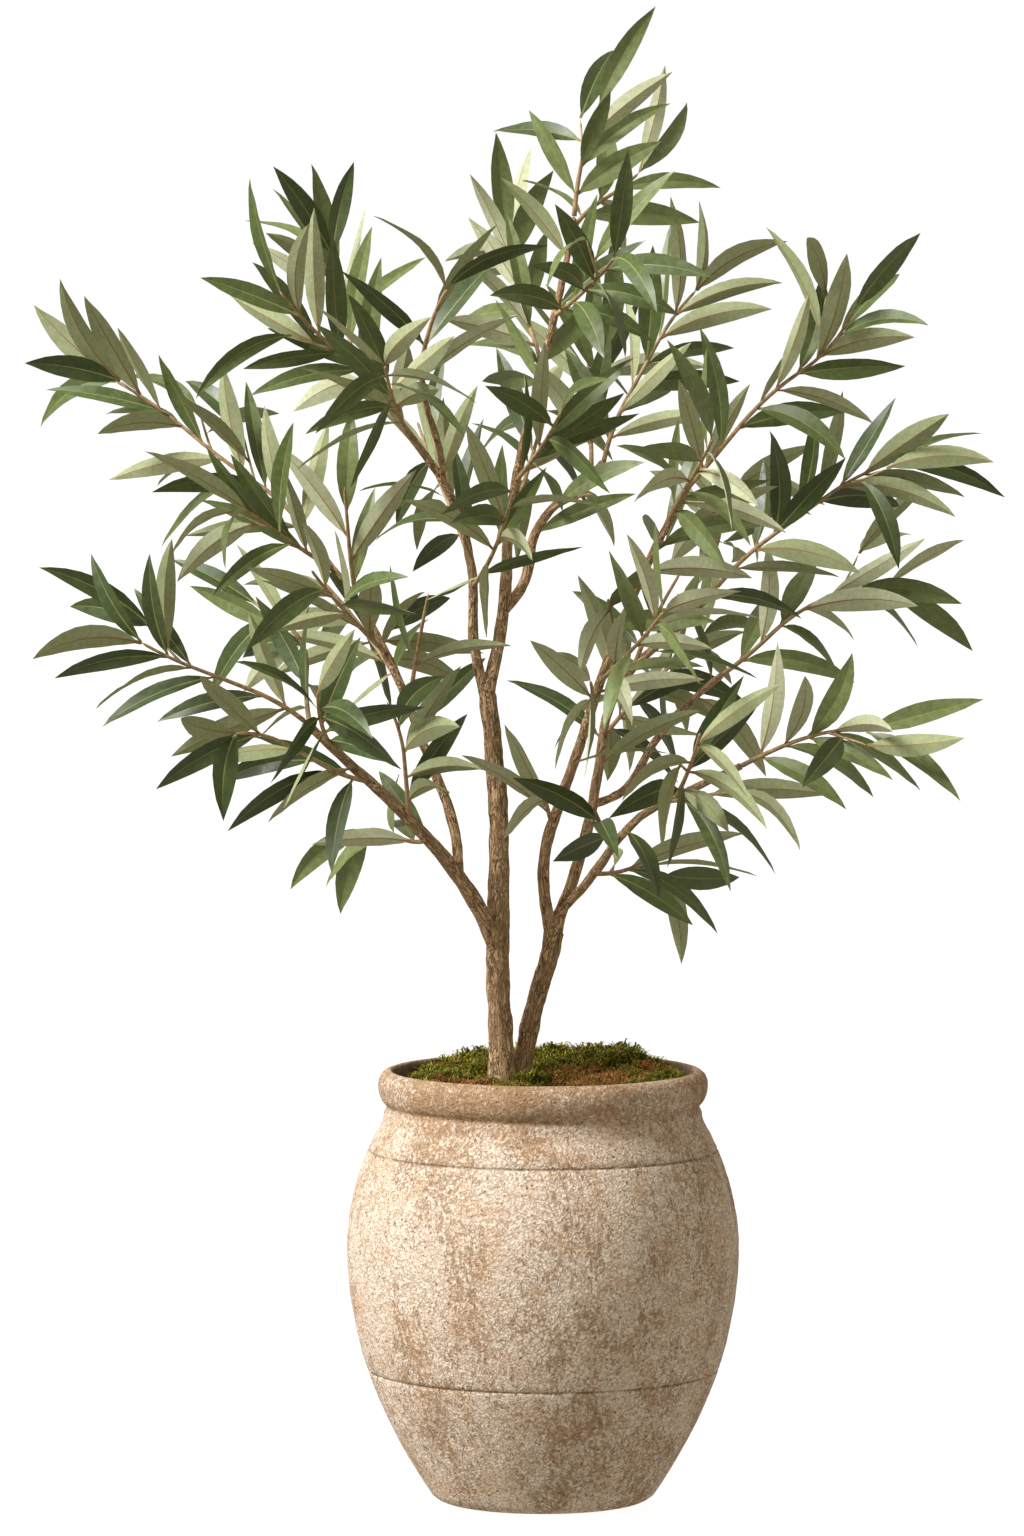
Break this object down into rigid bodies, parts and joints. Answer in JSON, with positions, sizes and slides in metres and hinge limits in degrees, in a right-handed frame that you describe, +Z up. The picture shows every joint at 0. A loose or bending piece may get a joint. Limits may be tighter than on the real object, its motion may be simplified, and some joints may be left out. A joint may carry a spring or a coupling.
{
  "type": "potted olive tree",
  "caption": "Young olive tree with two slim stems and an open leafy crown, in a round-bellied clay jar with a rolled rim, topped with moss.",
  "frame": {"origin": "centre of the jar's flat underside, where it stands on the floor", "axes": "+Z up through the jar; +Y away from the viewer of the front view; +X to that viewer's right"},
  "size_m": [0.8786, 0.7332, 1.3347],
  "materials": {
    "jar": "unglazed, pitted and worn",
    "soil": "dark damp potting mix",
    "moss": "tufted moss",
    "bark": "fissured brown bark",
    "leaf": "leathery leaves, dark above and pale below"
  },
  "bodies": {
    "root": {"bough_far_right": "bark", "bough_inner_right": "bark", "bough_lower_left": "bark", "bough_lower_right": "bark", "bough_middle_left": "bark", "bough_right": "bark", "bough_upper_left": "bark", "bough_upper_middle": "bark", "bough_upper_right": "bark", "leader": "bark", "leaves_centre_behind": "leaf", "leaves_centre_front": "leaf", "leaves_centre_slim": "leaf", "leaves_far_right": "leaf", "leaves_inner_behind": "leaf", "leaves_inner_low": "leaf", "leaves_inner_right": "leaf", "leaves_left_behind": "leaf", "leaves_left_centre": "leaf", "leaves_left_front": "leaf", "leaves_left_hanging": "leaf", "leaves_left_long": "leaf", "leaves_left_tall": "leaf", "leaves_lower_left": "leaf", "leaves_lower_left_front": "leaf", "leaves_lower_left_low": "leaf", "leaves_lower_left_shelf": "leaf", "leaves_lower_left_under": "leaf", "leaves_lower_left_upright": "leaf", "leaves_lower_right": "leaf", "leaves_lower_right_front": "leaf", "leaves_lower_right_inner": "leaf", "leaves_lower_right_low": "leaf", "leaves_lower_right_under": "leaf", "leaves_right": "leaf", "leaves_right_behind": "leaf", "leaves_right_inner": "leaf", "leaves_right_stem_front": "leaf", "leaves_right_stem_low": "leaf", "leaves_right_stem_middle": "leaf", "leaves_stem_sprig": "leaf", "leaves_top": "leaf", "leaves_top_behind": "leaf", "leaves_top_front": "leaf", "leaves_top_right": "leaf", "leaves_upper_behind": "leaf", "leaves_upper_front": "leaf", "leaves_upper_left": "leaf", "leaves_upper_left_tall": "leaf", "leaves_upper_middle": "leaf", "leaves_upper_right": "leaf", "leaves_upper_right_behind": "leaf", "leaves_upper_right_front": "leaf", "moss_bed": "moss", "pot": "jar", "second_stem": "bark", "soil": "soil", "trunk": "bark"}
  },
  "joints": []
}
